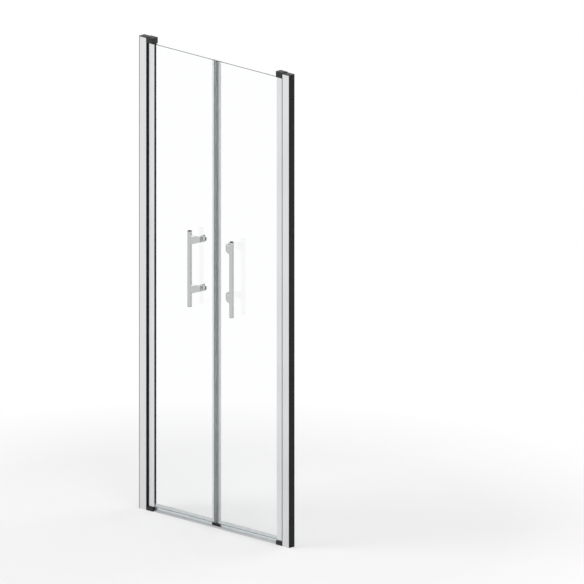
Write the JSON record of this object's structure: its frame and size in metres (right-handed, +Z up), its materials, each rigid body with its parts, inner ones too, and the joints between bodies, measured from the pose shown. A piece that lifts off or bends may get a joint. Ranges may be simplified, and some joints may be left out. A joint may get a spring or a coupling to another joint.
{
  "type": "double pivot shower door",
  "caption": "Niche shower door with glass leaves that swing in and out on vertical pivots between wall posts, with bar handles and closing strips.",
  "frame": {"origin": "middle of the door at floor level, on the plane of the glass", "axes": "+X along the door to the right as seen from outside, +Y into the shower, +Z up"},
  "size_m": [0.8, 0.056, 1.85],
  "materials": {
    "anodised_aluminium": "satin, bright silver",
    "mill_aluminium": "mill finish",
    "stainless_steel": "fine brushed",
    "polished_metal": "polished",
    "black_plastic": "fine moulded grain",
    "bearing_plastic": "smooth turned",
    "black_rubber": "matt",
    "black_foam": "closed-cell foam",
    "clear_glass": "clear safety glass, polished edges",
    "clear_vinyl": "clear soft vinyl",
    "magnet_strip": "matt magnet tape",
    "soft_bush": "soft clear plastic"
  },
  "bodies": {
    "frame": {"sill_strip": "anodised_aluminium", "left_wall_tape": "black_foam", "right_wall_tape": "black_foam", "left_wall_channel": "mill_aluminium", "right_wall_channel": "mill_aluminium", "left_post": "anodised_aluminium", "right_post": "anodised_aluminium", "left_clamp_screws": "stainless_steel", "right_clamp_screws": "stainless_steel", "left_clamp_nuts": "stainless_steel", "right_clamp_nuts": "stainless_steel", "left_post_cap": "black_plastic", "right_post_cap": "black_plastic", "left_top_block": "black_plastic", "right_top_block": "black_plastic", "left_bottom_block": "black_plastic", "right_bottom_block": "black_plastic", "left_block_screws": "stainless_steel", "right_block_screws": "stainless_steel", "left_top_pin": "stainless_steel", "right_top_pin": "stainless_steel", "left_bottom_pin": "stainless_steel", "right_bottom_pin": "stainless_steel", "left_thrust_washer": "bearing_plastic", "right_thrust_washer": "bearing_plastic", "left_post_seal": "black_rubber", "right_post_seal": "black_rubber"},
    "left_leaf": {"left_pivot_profile": "anodised_aluminium", "left_top_bearing": "bearing_plastic", "left_bottom_bearing": "bearing_plastic", "left_glazing_gasket": "black_rubber", "left_glass": "clear_glass", "left_closing_strip": "clear_vinyl", "left_magnet": "magnet_strip", "left_strip_foot": "black_rubber", "left_drip_seal": "clear_vinyl", "left_handle_bar": "polished_metal", "left_handle_plugs": "black_plastic", "left_upper_arm": "polished_metal", "left_lower_arm": "polished_metal", "left_handle_screws": "stainless_steel", "left_rosettes": "polished_metal", "left_hole_bushes": "soft_bush"},
    "right_leaf": {"right_pivot_profile": "anodised_aluminium", "right_top_bearing": "bearing_plastic", "right_bottom_bearing": "bearing_plastic", "right_glazing_gasket": "black_rubber", "right_glass": "clear_glass", "right_closing_strip": "clear_vinyl", "right_magnet": "magnet_strip", "right_strip_foot": "black_rubber", "right_drip_seal": "clear_vinyl", "right_handle_bar": "polished_metal", "right_handle_plugs": "black_plastic", "right_upper_arm": "polished_metal", "right_lower_arm": "polished_metal", "right_handle_screws": "stainless_steel", "right_rosettes": "polished_metal", "right_hole_bushes": "soft_bush"}
  },
  "joints": [
    {"name": "left_leaf_swing", "type": "hinge", "parent": "frame", "child": "left_leaf", "pos_m": [-0.35225, 0, 0.92], "axis": [0, 0, 1], "range_deg": [-90, 90]},
    {"name": "right_leaf_swing", "type": "hinge", "parent": "frame", "child": "right_leaf", "pos_m": [0.35225, 0, 0.92], "axis": [0, 0, 1], "range_deg": [-90, 90]}
  ]
}
